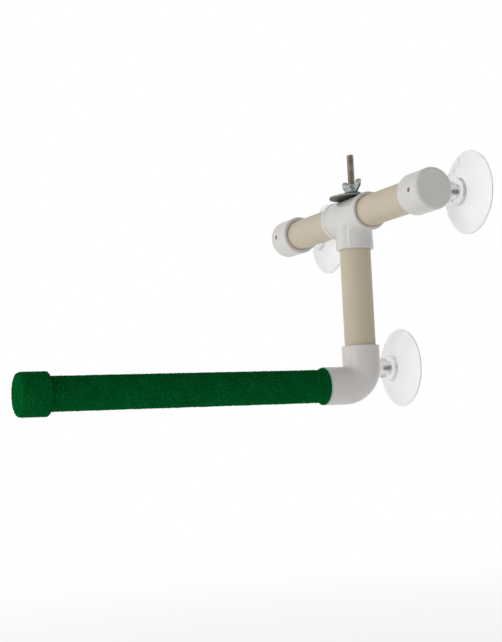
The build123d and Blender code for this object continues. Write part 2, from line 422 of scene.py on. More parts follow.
@dataclass(frozen=True)
class PlatedSteel:
    """Steel hardware, plated or dulled, with patches of tarnish."""

    name: str
    colour: Colour
    tarnish: Colour
    rough: float
    rough_spread: float = 0.2
    patches: float = 260.0
    patch_range: Pair = (0.4, 0.62)
    sheen_scale: float = 700
    grain_scale: float = 1300
    grain_depth: float = 0.04 * MM

    def material(self) -> Material:
        """Build the material.

        Returns:
            The material.
        """
        surface = Surface(self.name)
        patch = surface.levels(surface.noise(self.patches, 5, 0.65), self.patch_range, FULL)
        tone = surface.mix(patch, self.colour, self.tarnish)
        sheen = surface.noise(self.sheen_scale, 4)
        rough = surface.levels(sheen, MIDDLE, spread(self.rough, self.rough_spread))
        grain = surface.bump(surface.noise(self.grain_scale), self.grain_depth)
        surface.feed(surface.shader, base_color=tone, roughness=rough, normal=grain)
        surface.feed(surface.shader, metallic=1.0)
        return surface.material


@dataclass(frozen=True)
class Corner:
    """Corner of a turned outline, with the radius of its rounding."""

    radius: float
    height: float
    round: float = 0.0


class Lathe:
    """Turns outlines into closed meshes about +Z."""

    def __init__(self, segments: int = 96, arc_steps: int = 5) -> None:
        """Set how finely the lathe cuts.

        Args:
            segments: Faces round the axis.
            arc_steps: Steps round each rounded corner.
        """
        self.segments = segments
        self.arc_steps = arc_steps

    def rounded(self, before: Corner, corner: Corner, after: Corner) -> list[Pair]:
        """Points that round one corner of an outline.

        Args:
            before: The corner before it.
            corner: The corner to round.
            after: The corner after it.

        Returns:
            (radius, height) points along the rounding, or the corner alone.
        """
        here = Vector((corner.radius, corner.height))
        if corner.round <= 0:
            return [(here.x, here.y)]
        back = Vector((before.radius, before.height)) - here
        ahead = Vector((after.radius, after.height)) - here
        reach = min(corner.round, SIDE_SHARE * back.length, SIDE_SHARE * ahead.length)
        start, end = here + back.normalized() * reach, here + ahead.normalized() * reach
        points = []
        for step in range(self.arc_steps + 1):
            share = step / self.arc_steps
            point = start * (1 - share) ** 2 + here * 2 * share * (1 - share) + end * share**2
            points.append((point.x, point.y))
        return points

    def outline(self, corners: list[Corner], closed: bool) -> list[Pair]:
        """Round the corners of an outline.

        Args:
            corners: Corners in order.
            closed: Whether the last corner joins the first.

        Returns:
            (radius, height) points.
        """
        points = []
        count = len(corners)
        for index, corner in enumerate(corners):
            if not closed and index in (0, count - 1):
                points.append((corner.radius, corner.height))
            else:
                points += self.rounded(corners[index - 1], corner, corners[(index + 1) % count])
        return points

    def turned(self, name: str, points: list[Pair], closed: bool) -> Mesh:
        """Turn (radius, height) points about +Z.

        Args:
            name: Name of the mesh.
            points: Points of the outline.
            closed: Whether the outline is a loop; an open one starts and ends on the axis.

        Returns:
            The mesh, smooth, with its faces outwards.
        """
        shape = bmesh.new()
        turns = [2 * math.pi * step / self.segments for step in range(self.segments)]
        rings = []
        for radius, height in points:
            if radius < ON_AXIS:
                rings.append([shape.verts.new((0, 0, height))] * self.segments)
            else:
                places = [(radius * math.cos(t), radius * math.sin(t), height) for t in turns]
                rings.append([shape.verts.new(place) for place in places])
        for low, high in zip(rings, rings[1:] + (rings[:1] if closed else [])):
            bridge(shape, low, high)
        return finished_mesh(name, shape)


def bridge(shape: BMesh, low: list[BMVert], high: list[BMVert]) -> None:
    """Join two rings of as many corners with faces; a ring on the axis repeats one corner.

    Args:
        shape: The bmesh that gets the faces.
        low: First ring.
        high: Second ring.
    """
    for step in range(len(low)):
        after = (step + 1) % len(low)
        face = list(dict.fromkeys((low[step], low[after], high[after], high[step])))
        if len(face) > 2:
            shape.faces.new(face)


def finished_mesh(name: str, shape: BMesh) -> Mesh:
    """Turn a closed bmesh into a new mesh with its faces outwards.

    Args:
        name: Name of the mesh.
        shape: The bmesh, which is freed.

    Returns:
        The mesh, smooth but for its crisp edges.
    """
    bmesh.ops.recalc_face_normals(shape, faces=shape.faces)
    return written(shape, bpy.data.meshes.new(name), CRISP_ANGLE)


def written(shape: BMesh, mesh: Mesh, degrees: float) -> Mesh:
    """Write a bmesh to a mesh, smooth but for the edges that are sharper than an angle.

    Args:
        shape: The bmesh, which is freed.
        mesh: The mesh to write.
        degrees: The angle.

    Returns:
        The same mesh.
    """
    for face in shape.faces:
        face.smooth = True
    for edge in shape.edges:
        edge.smooth = edge.calc_face_angle(0.0) < math.radians(degrees)
    shape.to_mesh(mesh)
    shape.free()
    return mesh


def spindle(direction: Spindle, x: float, y: float, z: float) -> Matrix:
    """Matrix that puts a piece made about +Z on its axis.

    Args:
        direction: Where the axis points.
        x: Place along the crossbar.
        y: Place towards the wall.
        z: Height.

    Returns:
        The matrix.
    """
    return Matrix.Translation((x, y, z)) @ Matrix.Rotation(math.radians(direction.value), 4, "X")


def shown(name: str, mesh: Mesh, material: Material) -> Object:
    """Put a mesh in the scene with one material.

    Args:
        name: Name of the piece.
        mesh: Its mesh, already in place.
        material: Its finish.

    Returns:
        The object.
    """
    mesh.materials.clear()
    mesh.materials.append(material)
    piece = bpy.data.objects.new(name, mesh)
    bpy.context.scene.collection.objects.link(piece)
    return piece


def fitted(piece: Object, body: Body, slot: Slot, *nodes: str) -> Object:
    """Let a piece ride on a body and stand for CAD nodes.

    Args:
        piece: The piece.
        body: The body that it rides on.
        slot: The record's slot for its finish; not used.
        nodes: CAD nodes that it replaces.

    Returns:
        The piece.
    """
    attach(piece, body.value)
    if nodes:
        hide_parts(*nodes)
    logger.info("%s: %d faces, rides on %s", piece.name, len(piece.data.polygons), body.value)
    return piece


def holder(name: str, mesh: Mesh) -> Object:
    """Put an object in the scene that carries modifiers until it is settled.

    Args:
        name: Name of the object.
        mesh: Mesh that the modifiers start from.

    Returns:
        The object.
    """
    carrier = bpy.data.objects.new(name, mesh)
    bpy.context.scene.collection.objects.link(carrier)
    return carrier


def settled(name: str, carrier: Object) -> Mesh:
    """Turn what an object's modifiers make into a plain mesh, and remove the object.

    Args:
        name: Name of the mesh.
        carrier: The object.

    Returns:
        The plain mesh.
    """
    graph = bpy.context.evaluated_depsgraph_get()
    mesh = bpy.data.meshes.new_from_object(carrier.evaluated_get(graph))
    mesh.name = name
    bpy.data.objects.remove(carrier)
    return mesh


def joined(name: str, *meshes: Mesh) -> Mesh:
    """Join meshes that lie in place into one mesh.

    Args:
        name: Name of the new mesh.
        meshes: Meshes to join.

    Returns:
        The joined mesh.
    """
    shape = bmesh.new()
    for mesh in meshes:
        shape.from_mesh(mesh)
    result = bpy.data.meshes.new(name)
    shape.to_mesh(result)
    shape.free()
    return result


class Recipe:
    """A Geometry Nodes tree under construction, and the mesh that it makes."""

    def __init__(self, name: str, material: Material, sizes: dict[str, float | int]) -> None:
        """Start a tree whose inputs are a geometry, named sizes and a finish.

        Args:
            name: Name of the tree.
            material: Finish of the result.
            sizes: Name and value of each size.
        """
        self.tree: NodeTree = bpy.data.node_groups.new(name, "GeometryNodeTree")
        sockets = self.tree.interface
        sockets.new_socket("Geometry", in_out="OUTPUT", socket_type="NodeSocketGeometry")
        sockets.new_socket("Geometry", in_out="INPUT", socket_type="NodeSocketGeometry")
        for size, value in sizes.items():
            kind = "NodeSocketInt" if isinstance(value, int) else "NodeSocketFloat"
            sockets.new_socket(size, in_out="INPUT", socket_type=kind)
        sockets.new_socket("Finish", in_out="INPUT", socket_type="NodeSocketMaterial")
        self.values: dict[str, object] = {**sizes, "Finish": material}
        self.start = self.tree.nodes.new("NodeGroupInput")

    def node(self, kind: str, inputs: dict[str | int, object], **settings: object) -> Node:
        """Add a node and feed it.

        Args:
            kind: Blender's name for the node's type.
            inputs: What feeds each input, by the input's name or number: an output socket, the
                name of one of the tree's inputs, or a plain value.
            settings: Properties of the node and their values.

        Returns:
            The new node.
        """
        node = self.tree.nodes.new(kind)
        for key, value in settings.items():
            setattr(node, key, value)
        for key, value in inputs.items():
            source = self.start.outputs[value] if isinstance(value, str) else value
            if isinstance(source, NodeSocket):
                self.tree.links.new(source, node.inputs[key])
            else:
                node.inputs[key].default_value = source
        return node

    def work(self, operation: str, *values: object) -> NodeSocket:
        """One arithmetic step on values that are given as for a node."""
        return self.node("ShaderNodeMath", dict(enumerate(values)), operation=operation).outputs[0]

    def places(self) -> list[NodeSocket]:
        """X, Y and Z of each point."""
        point = self.node("GeometryNodeInputPosition", {}).outputs[0]
        return list(self.node("ShaderNodeSeparateXYZ", {0: point}).outputs)

    def mesh(self, name: str, geometry: NodeSocket, source: Mesh | None = None) -> Mesh:
        """End the tree, run it once and return a plain mesh.

        Args:
            name: Name of the mesh.
            geometry: The tree's last geometry.
            source: Mesh that the tree starts from, or none.

        Returns:
            The mesh, with the modifier and its object removed.
        """
        real = self.node("GeometryNodeRealizeInstances", {"Geometry": geometry})
        finish = {"Geometry": real.outputs[0], "Material": "Finish"}
        dressed = self.node("GeometryNodeSetMaterial", finish)
        self.node("NodeGroupOutput", {0: dressed.outputs[0]})
        carrier = holder(name + "_recipe", source or bpy.data.meshes.new(name + "_seed"))
        modifier = carrier.modifiers.new("recipe", "NODES")
        modifier.node_group = self.tree
        for item in self.tree.interface.items_tree:
            if item.in_out == "INPUT" and item.name in self.values:
                modifier[item.identifier] = self.values[item.name]
        return settled(name, carrier)


@dataclass(frozen=True)
class Thread:
    """Helical thread on a rod: its sizes in metres and how finely it is cut."""

    crest_radius: float
    pitch: float
    length: float
    chamfer: float
    around: int = 32
    steps_per_pitch: int = 10
    depth_share: float = 0.54
    crest_share: float = 0.2
    root_share: float = 0.15
    sharp_angle: float = 60.0

    def mesh(self, name: str, material: Material) -> Mesh:
        """Cut the thread on a rod about +Z from height 0.

        Args:
            name: Name of the mesh.
            material: Finish of the thread.

        Returns:
            The mesh.
        """
        sizes = {
            "Crest Radius": self.crest_radius,
            "Depth": self.depth_share * self.pitch,
            "Pitch": self.pitch,
            "Length": self.length,
            "Chamfer": self.chamfer,
            "Around": self.around,
            "Rings": int(self.length / self.pitch * self.steps_per_pitch),
        }
        recipe = Recipe(name + "_thread", material, sizes)
        rod = recipe.node(
            "GeometryNodeMeshCylinder",
            {
                "Vertices": "Around",
                "Side Segments": "Rings",
                "Radius": "Crest Radius",
                "Depth": "Length",
            },
        )
        x, y, z = recipe.places()
        height = recipe.work("MULTIPLY_ADD", "Length", 0.5, z)
        turn = recipe.work("ARCTAN2", y, x)
        turns = recipe.work("DIVIDE", turn, 2 * math.pi)
        climb = recipe.work("SUBTRACT", recipe.work("DIVIDE", height, "Pitch"), turns)
        off_crest = recipe.work("SUBTRACT", recipe.work("FRACT", climb), 0.5)
        away = recipe.work("MULTIPLY", recipe.work("ABSOLUTE", off_crest), 2.0)
        flank = recipe.node(
            "ShaderNodeMapRange",
            {"Value": away, "From Min": self.crest_share, "From Max": 1 - self.root_share},
        )
        cut = recipe.work("MULTIPLY", flank.outputs["Result"], "Depth")
        to_end = recipe.work("MINIMUM", height, recipe.work("SUBTRACT", "Length", height))
        bevel = recipe.work("MAXIMUM", recipe.work("SUBTRACT", "Chamfer", to_end), 0.0)
        radius = recipe.work("SUBTRACT", "Crest Radius", recipe.work("MAXIMUM", cut, bevel))
        east = recipe.work("MULTIPLY", recipe.work("COSINE", turn), radius)
        north = recipe.work("MULTIPLY", recipe.work("SINE", turn), radius)
        spot = recipe.node("ShaderNodeCombineXYZ", {"X": east, "Y": north, "Z": height})
        moves = {"Geometry": rod.outputs[0], "Position": spot.outputs[0]}
        moved = recipe.node("GeometryNodeSetPosition", moves)
        mesh = recipe.mesh(name, moved.outputs[0])
        shape = bmesh.new()
        shape.from_mesh(mesh)
        return written(shape, mesh, self.sharp_angle)


@dataclass(frozen=True)
class SuctionCup:
    """Clear suction cup with its threaded stud, turned about +Z from the rim at height 0."""

    side: str
    x: float
    z: float
    body: Body
    diameter: float = 67.2 * MM
    height: float = 22.4 * MM
    rim_land: float = 1.6 * MM
    rim_edge: float = 0.8 * MM
    hollow: float = 8.0 * MM
    skirt_rise: float = 9.6 * MM
    skirt_bulge: float = 0.8 * MM
    boss_diameter: float = 22.6 * MM
    boss_length: float = 2.8 * MM
    boss_taper: float = 0.8 * MM
    neck_diameter: float = 11.6 * MM
    knob_diameter: float = 17.0 * MM
    knob_length: float = 5.6 * MM
    stud_hole: float = 4.1 * MM
    stud_depth: float = 12.0 * MM
    stud_diameter: float = 4.0 * MM
    stud_pitch: float = 0.7 * MM
    stud_chamfer: float = 0.5 * MM
    rim_round: float = 0.35 * MM
    skirt_round: float = 0.9 * MM
    boss_round: float = 1.1 * MM
    boss_neck_round: float = 1.3 * MM
    knob_neck_round: float = 1.2 * MM
    knob_round: float = 2.08 * MM
    mouth_round: float = 0.4 * MM
    hole_end_round: float = 0.5 * MM
    arc_steps: int = 22

    def hollow_arc(self) -> list[Pair]:
        """Points of the concave face, from the axis out to the rim's land.

        Returns:
            (radius, height) points.
        """
        reach = self.diameter / 2 - self.rim_land
        sphere = (reach**2 + self.hollow**2) / (2 * self.hollow)
        radii = [reach * step / self.arc_steps for step in range(self.arc_steps + 1)]
        return [(r, self.hollow - sphere + math.sqrt(sphere**2 - r**2)) for r in radii]

    def skirt_arc(self) -> list[Pair]:
        """Points of the skirt's outer face, from the rim in to the boss.

        Returns:
            (radius, height) points.
        """
        rim, boss = self.diameter / 2, self.boss_diameter / 2
        points = []
        for step in range(1, self.arc_steps + 1):
            share = step / self.arc_steps
            crown = 4 * share * (1 - share) * self.skirt_bulge
            rise = self.rim_edge + (self.skirt_rise - self.rim_edge) * share + crown
            points.append((rim + (boss - rim) * share, rise))
        return points

    def mesh(self) -> Mesh:
        """Turn the cup and put it on its axis.

        Returns:
            The cup's mesh.
        """
        lathe = Lathe(128, 6)
        rim, boss = self.diameter / 2, self.boss_diameter / 2
        neck, knob, hole = self.neck_diameter / 2, self.knob_diameter / 2, self.stud_hole / 2
        boss_top = self.skirt_rise + self.boss_length
        knob_foot, hole_end = self.height - self.knob_length, self.height - self.stud_depth
        skirt = self.skirt_arc()
        edge = [
            Corner(rim - self.rim_land, 0),
            Corner(rim, 0, self.rim_round),
            Corner(rim, self.rim_edge, self.rim_round),
            Corner(*skirt[1]),
        ]
        crown = [
            Corner(*skirt[-3]),
            Corner(boss, self.skirt_rise, self.skirt_round),
            Corner(boss - self.boss_taper, boss_top, self.boss_round),
            Corner(neck, boss_top, self.boss_neck_round),
            Corner(neck, knob_foot, self.knob_neck_round),
            Corner(knob, knob_foot, self.knob_round),
            Corner(knob, self.height, self.knob_round),
            Corner(hole, self.height, self.mouth_round),
            Corner(hole, hole_end, self.hole_end_round),
            Corner(0, hole_end),
        ]
        points = self.hollow_arc()[:-1] + lathe.outline(edge, False)
        points += skirt[2:-3] + lathe.outline(crown, False)
        mesh = lathe.turned("cup_" + self.side, points, False)
        mesh.transform(spindle(Spindle.FRONT, self.x, 0, self.z))
        return mesh

    def build(self, vinyl: Material, steel: Material) -> None:
        """Make the cup and its stud.

        Args:
            vinyl: Finish of the cup.
            steel: Finish of the stud.
        """
        cup = shown("clear_cup_" + self.side, self.mesh(), vinyl)
        fitted(cup, self.body, Slot.CLEAR_CUP, "suction_cup_" + self.side)
        node = "cup_stud_" + self.side
        low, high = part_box(node)
        radius, length = self.stud_diameter / 2, high.y - low.y
        thread = Thread(radius, self.stud_pitch, length, self.stud_chamfer, 28, 8)
        mesh = thread.mesh("stud_" + self.side, steel)
        mesh.transform(spindle(Spindle.FRONT, self.x, high.y, self.z))
        fitted(shown("threaded_stud_" + self.side, mesh, steel), self.body, Slot.DULL_STEEL, node)


@dataclass(frozen=True)
class SwivelHardware:
    """Swivel bolt, its washers and its wing nut, all on the drop tube's axis."""

    bolt_radius: float = 3.175 * MM
    bolt_pitch: float = 1.27 * MM
    head_flats: float = 11.1 * MM
    washer_bore: float = 7.1 * MM
    split: float = 1.2 * MM
    nut_hub_radius: float = 5.7 * MM
    nut_hub_top_radius: float = 4.5 * MM
    nut_hub_height: float = 7.0 * MM
    nut_height: float = 10.9 * MM
    nut_span: float = 25.0 * MM
    wing_thickness: float = 2.4 * MM
    wing_width: float = 5.2 * MM
    wing_drop: float = 5.2 * MM
    wing_foot: float = 1.2 * MM
    nut_turn: float = 9.0
    head_height: float = 4.0 * MM
    head_bevel: float = 0.35 * MM
    tip_chamfer: float = 0.7 * MM
    washer_rounds: tuple[float, ...] = (0.15 * MM, 0.3 * MM, 0.5 * MM, 0.25 * MM)
    split_bevel: float = 0.2 * MM
    split_steps: int = 72
    wing_root_gap: float = 0.6 * MM
    wing_spread: float = 1.6 * MM
    wing_taper: float = 0.3
    nut_play: float = 0.05 * MM
    nut_collar: float = 1.4 * MM
    melt_size: float = 0.24 * MM
    melt_rounds: int = 5
    bore_skin: float = 0.45 * MM
    cast_scale: float = 900
    cast_depth: float = 0.05 * MM

    def on_axis(self, mesh: Mesh, foot: float) -> Mesh:
        """Move a mesh made about +Z to the drop tube's axis, with its foot at a height."""
        mesh.transform(spindle(Spindle.UP, 0, -WALL_TO_AXIS, foot))
        return mesh

    def bolt(self, steel: Material) -> None:
        """Make the hex-headed bolt with its helical thread.

        Args:
            steel: Finish of the bolt.
        """
        low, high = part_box("swivel_bolt")
        seat = low.z + self.head_height
        thread = Thread(self.bolt_radius, self.bolt_pitch, high.z - seat, self.tip_chamfer)
        shank = thread.mesh("bolt_shank", steel)
        shape = bmesh.new()
        corner = self.head_flats / 2 / math.cos(math.pi / 6)
        hexagon = {"cap_ends": True, "segments": 6, "radius1": corner, "radius2": corner}
        bmesh.ops.create_cone(shape, depth=self.head_height, **hexagon)
        edges, offset = shape.edges, self.head_bevel
        bmesh.ops.bevel(shape, geom=edges, offset=offset, segments=2, affect="EDGES")
        bmesh.ops.translate(shape, verts=shape.verts, vec=(0, 0, -self.head_height / 2))
        mesh = joined("hex_bolt", shank, finished_mesh("bolt_head", shape))
        piece = shown("swivel_hex_bolt", self.on_axis(mesh, seat), steel)
        fitted(piece, Body.ARM, Slot.DULL_STEEL, "swivel_bolt")

    def washer(self, name: str, node: str, body: Body, slot: Slot, steel: Material) -> None:
        """Make a stamped washer with rounded edges in the place of its CAD node.

        Args:
            name: Name of the piece.
            node: CAD node that it replaces.
            body: Body that it rides on.
            slot: Slot of its finish.
            steel: Its finish.
        """
        low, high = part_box(node)
        outer, inner, thick = (high.x - low.x) / 2, self.washer_bore / 2, high.z - low.z
        places = ((inner, 0), (outer, 0), (outer, thick), (inner, thick))
        corners = [Corner(*place, round) for place, round in zip(places, self.washer_rounds)]
        lathe = Lathe(112, 5)
        mesh = lathe.turned(name, lathe.outline(corners, True), True)
        fitted(shown(name, self.on_axis(mesh, low.z), steel), body, slot, node)

    def spring_washer(self, steel: Material) -> None:
        """Make the split spring washer, whose ends part slightly.

        Args:
            steel: Its finish.
        """
        low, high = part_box("spring_washer")
        outer, inner, thick = (high.y - low.y) / 2, self.washer_bore / 2, high.z - low.z
        half_gap = math.asin(self.split / 2 / outer)
        sweep = 2 * math.pi - 2 * half_gap
        edge = self.split_bevel
        section = [(inner, edge), (inner + edge, 0), (outer - edge, 0), (outer, edge)]
        section += [(radius, thick - height) for radius, height in reversed(section)]
        shape = bmesh.new()
        rings = []
        for step in range(self.split_steps + 1):
            turn = -math.pi + half_gap + sweep * step / self.split_steps
            places = [(r * math.cos(turn), r * math.sin(turn), h) for r, h in section]
            rings.append([shape.verts.new(place) for place in places])
        for before, after in zip(rings, rings[1:]):
            bridge(shape, before, after)
        shape.faces.new(rings[0])
        shape.faces.new(rings[-1])
        mesh = self.on_axis(finished_mesh("spring_washer_ring", shape), low.z)
        fitted(shown("split_washer", mesh, steel), Body.CROSSBAR, Slot.DARK_STEEL, "spring_washer")

    def wing(self, sign: int) -> Mesh:
        """Wing of the nut as a rounded plate, thinner towards its tip.

        Args:
            sign: 1 for the wing along +X, -1 for the other.

        Returns:
            The plate as a closed mesh.
        """
        tip, top = self.nut_span / 2, self.nut_height
        root = self.bolt_radius + self.wing_root_gap
        corners = [
            Corner(root, self.wing_foot, 0),
            Corner(self.nut_hub_radius + self.wing_spread, self.wing_foot, 1.0 * MM),
            Corner(tip, top - self.wing_drop, 2.6 * MM),
            Corner(tip, top, 2.4 * MM),
            Corner(tip - self.wing_width, top, 2.2 * MM),
            Corner(self.nut_hub_top_radius, self.nut_hub_height, 1.0 * MM),
            Corner(root, self.nut_hub_height, 0),
        ]
        points = Lathe(8, 6).outline(corners, True)
        shape = bmesh.new()
        rows = []
        for side in (-1, 1):
            row = []
            for x, z in points:
                lean = 1.0 - self.wing_taper * max(0.0, (x - root) / (tip - root))
                place = (sign * x, side * lean * self.wing_thickness / 2, z)
                row.append(shape.verts.new(place))
            rows.append(row)
            shape.faces.new(row)
        bridge(shape, *rows)
        return finished_mesh("wing", shape)

    def wing_nut(self, steel: Material) -> None:
        """Make the cast wing nut: hub and wings melted into one skin, then smoothed.

        Args:
            steel: Its finish.
        """
        bore = self.bolt_radius + self.nut_play
        lathe = Lathe(96, 6)
        corners = [
            Corner(bore, 0, 0.3 * MM),
            Corner(self.nut_hub_radius, 0, 0.5 * MM),
            Corner(self.nut_hub_radius, self.nut_collar, 0.4 * MM),
            Corner(self.nut_hub_top_radius, self.nut_hub_height, 0.8 * MM),
            Corner(bore, self.nut_hub_height, 0.3 * MM),
        ]
        hub = lathe.turned("nut_hub", lathe.outline(corners, True), True)
        source = joined("nut_parts", hub, self.wing(1), self.wing(-1))
        carrier = holder("nut_melt", source)
        melt = carrier.modifiers.new("melt", "REMESH")
        melt.mode, melt.voxel_size, melt.use_smooth_shade = "VOXEL", self.melt_size, True
        soften = carrier.modifiers.new("soften", "SMOOTH")
        soften.factor, soften.iterations = 0.5, self.melt_rounds
        mesh = settled("nut_cast", carrier)
        for vertex in mesh.vertices:
            away = math.hypot(vertex.co.x, vertex.co.y)
            if away < bore + self.bore_skin:
                vertex.co.x *= bore / away
                vertex.co.y *= bore / away
            ripple = noise.noise(vertex.co * self.cast_scale) * self.cast_depth
            vertex.co.y += ripple if away > self.nut_hub_radius else 0.0
        mesh.transform(Matrix.Rotation(math.radians(self.nut_turn), 4, "Z"))
        low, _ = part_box("wing_nut")
        piece = shown("cast_wing_nut", self.on_axis(mesh, low.z), steel)
        fitted(piece, Body.NUT, Slot.ZINC_STEEL, "wing_nut")

    def build(self, bolt: Material, zinc: Material, bright: Material, dark: Material) -> None:
        """Make all the hardware.

        Args:
            bolt: Finish of the bolt.
            zinc: Finish of the wing nut.
            bright: Finish of the small flat washers: a blue zinc tint, darkened with painted shade.
            dark: Finish of the wide washer and the spring washer.
        """
        self.bolt(bolt)
        self.washer("head_washer", "bolt_head_washer", Body.ARM, Slot.ZINC_STEEL, bright)
        self.washer("wide_washer", "fender_washer", Body.CROSSBAR, Slot.DARK_STEEL, dark)
        self.spring_washer(dark)
        self.washer("small_washer", "flat_washer", Body.WASHER, Slot.ZINC_STEEL, bright)
        self.wing_nut(zinc)


@dataclass(frozen=True)
class GritCoating:
    """Grit coating of the perch, turned about -Y: a lumpy painted skin with grains in it."""

    tube_radius: float = 13.35 * MM
    coat: float = 0.7 * MM
    cap_radius: float = 17.0 * MM
    bond: float = 0.02 * MM
    bead_height: float = 1.9 * MM
    bead_length: float = 2.6 * MM
    bead_flat: float = 1.3 * MM
    sink: float = 0.2 * MM
    lump: float = 0.34 * MM
    grain: float = 0.46 * MM
    density: float = 420000.0
    step: float = 0.75 * MM
    arm_z: float = -0.147
    seed: int = 7
    lump_scale: float = 620
    pebble_scale: float = 1300
    pebble_share: float = 0.7
    any_turn: Triple = (6.28, 6.28, 6.28)
    small_grain: Triple = (0.55, 0.55, 0.5)
    large_grain: Triple = (1.1, 1.0, 0.95)

    def profile(self, corners: list[Corner], lathe: Lathe) -> list[Pair]:
        """Rounded outline, with its long runs divided evenly.

        Args:
            corners: Corners of the closed outline.
            lathe: Lathe that rounds them.

        Returns:
            (radius, height) points no further apart than the step on the outer side.
        """
        points = lathe.outline(corners, True)
        fine = []
        for (r0, h0), (r1, h1) in zip(points, points[1:] + points[:1]):
            outer = max(r0, r1) > self.tube_radius + 2 * self.bond
            across, along = r1 - r0, h1 - h0
            pieces = max(1, math.ceil(math.hypot(across, along) / self.step)) if outer else 1
            fine += [(r0 + across * k / pieces, h0 + along * k / pieces) for k in range(pieces)]
        return fine

    def lumpy(self, mesh: Mesh, inner: float) -> Mesh:
        """Push the skin's outer side in and out by soft noise.

        Args:
            mesh: Skin made about +Z.
            inner: Radius up to which the skin lies on plastic and keeps its place.

        Returns:
            The same mesh.
        """
        normals = [vertex.normal.copy() for vertex in mesh.vertices]
        for vertex, normal in zip(mesh.vertices, normals):
            if math.hypot(vertex.co.x, vertex.co.y) > inner:
                wave = noise.noise(vertex.co * self.lump_scale)
                wave += self.pebble_share * noise.noise(vertex.co * self.pebble_scale)
                vertex.co += normal * (wave * 0.5 * self.lump - self.sink)
        return mesh

    def grains(self, name: str, skin: Mesh, inner: float, material: Material) -> Mesh:
        """Scatter grains on the skin's outer side.

        Args:
            name: Name of the mesh.
            skin: Skin that the grains stand in.
            inner: Radius up to which no grain is set.
            material: Finish of the grains.

        Returns:
            The grains as one plain mesh.
        """
        sizes = {
            "Grain Radius": self.grain,
            "Grains Per Square Metre": self.density,
            "Inner Radius": inner,
            "Seed": self.seed,
        }
        recipe = Recipe(name + "_scatter", material, sizes)
        x, y, _ = recipe.places()
        squares = [recipe.work("MULTIPLY", side, side) for side in (x, y)]
        away = recipe.work("SQRT", recipe.work("ADD", *squares))
        outside = recipe.work("GREATER_THAN", away, "Inner Radius")
        scatter = recipe.node(
            "GeometryNodeDistributePointsOnFaces",
            {
                "Mesh": "Geometry",
                "Selection": outside,
                "Density": "Grains Per Square Metre",
                "Seed": "Seed",
            },
        )
        ball = {"Radius": "Grain Radius", "Subdivisions": 1}
        grain = recipe.node("GeometryNodeMeshIcoSphere", ball)
        ranges = (((0.0, 0.0, 0.0), self.any_turn), (self.small_grain, self.large_grain))
        turn, swell = (
            recipe.node(
                "FunctionNodeRandomValue",
                {0: low, 1: high, "Seed": "Seed"},
                data_type="FLOAT_VECTOR",
            )
            for low, high in ranges
        )
        strewn = recipe.node(
            "GeometryNodeInstanceOnPoints",
            {
                "Points": scatter.outputs["Points"],
                "Instance": grain.outputs[0],
                "Rotation": turn.outputs[0],
                "Scale": swell.outputs[0],
            },
        )
        return recipe.mesh(name, strewn.outputs[0], skin)

    def lay(
        self,
        name: str,
        node: str,
        corners: list[Corner],
        segments: int,
        inner: float,
        paint: Material,
        grit: Material,
    ) -> None:
        """Make one coating: its skin and its grains.

        Args:
            name: First part of the pieces' names.
            node: CAD node that the skin replaces.
            corners: Corners of the outline about +Z, measured from the elbow's centre.
            segments: Faces round the perch.
            inner: Radius up to which the coating lies on plastic.
            paint: Finish of the skin.
            grit: Finish of the grains.
        """
        lathe = Lathe(segments, 5)
        outline = self.profile(corners, lathe)
        skin = self.lumpy(lathe.turned(name + "_skin", outline, True), inner)
        grains = self.grains(name + "_grains", skin.copy(), inner, grit)
        end = max(corner.height for corner in corners)
        place = spindle(Spindle.FRONT, 0, -WALL_TO_AXIS, self.arm_z)
        for vertex in (*skin.vertices, *grains.vertices):
            vertex.co.z = min(vertex.co.z, end)
        skin.transform(place)
        grains.transform(place)
        fitted(shown(name + "_skin", skin, paint), Body.ARM, Slot.GREEN_GRIT, node)
        fitted(shown(name + "_grains", grains, grit), Body.ARM, Slot.GREEN_GRIT)

    def build(self, paint: Material, grit: Material) -> None:
        """Make both coatings.

        Args:
            paint: Finish of the skins.
            grit: Finish of the grains.
        """
        low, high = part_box("perch_tube_coating")
        start, end = -high.y - WALL_TO_AXIS, -low.y - WALL_TO_AXIS
        inner, outer = self.tube_radius + self.bond, self.tube_radius + self.coat
        bead = outer + self.bead_height
        tube = [
            Corner(inner, start),
            Corner(bead, start, 0.6 * MM),
            Corner(bead, start + self.bead_flat, 0.8 * MM),
            Corner(outer, start + self.bead_length, 0.9 * MM),
            Corner(outer, end),
            Corner(inner, end),
        ]
        plastic = inner + self.bond
        self.lay("perch_grit", "perch_tube_coating", tube, 132, plastic, paint, grit)
        low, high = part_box("perch_cap_coating")
        mouth, end = -high.y - WALL_TO_AXIS, -low.y - WALL_TO_AXIS
        outer, skin = self.cap_radius + self.coat, self.cap_radius + self.bond
        face, back = end - self.coat + self.bond, mouth + self.coat - self.bond
        cap = [
            Corner(inner, mouth),
            Corner(outer, mouth, 1.4 * MM),
            Corner(outer, end, 4.1 * MM),
            Corner(0, end),
            Corner(0, face),
            Corner(skin, face, 3.4 * MM),
            Corner(skin, back, 0.7 * MM),
            Corner(inner, back),
        ]
        self.lay("cap_grit", "perch_cap_coating", cap, 160, plastic, paint, grit)


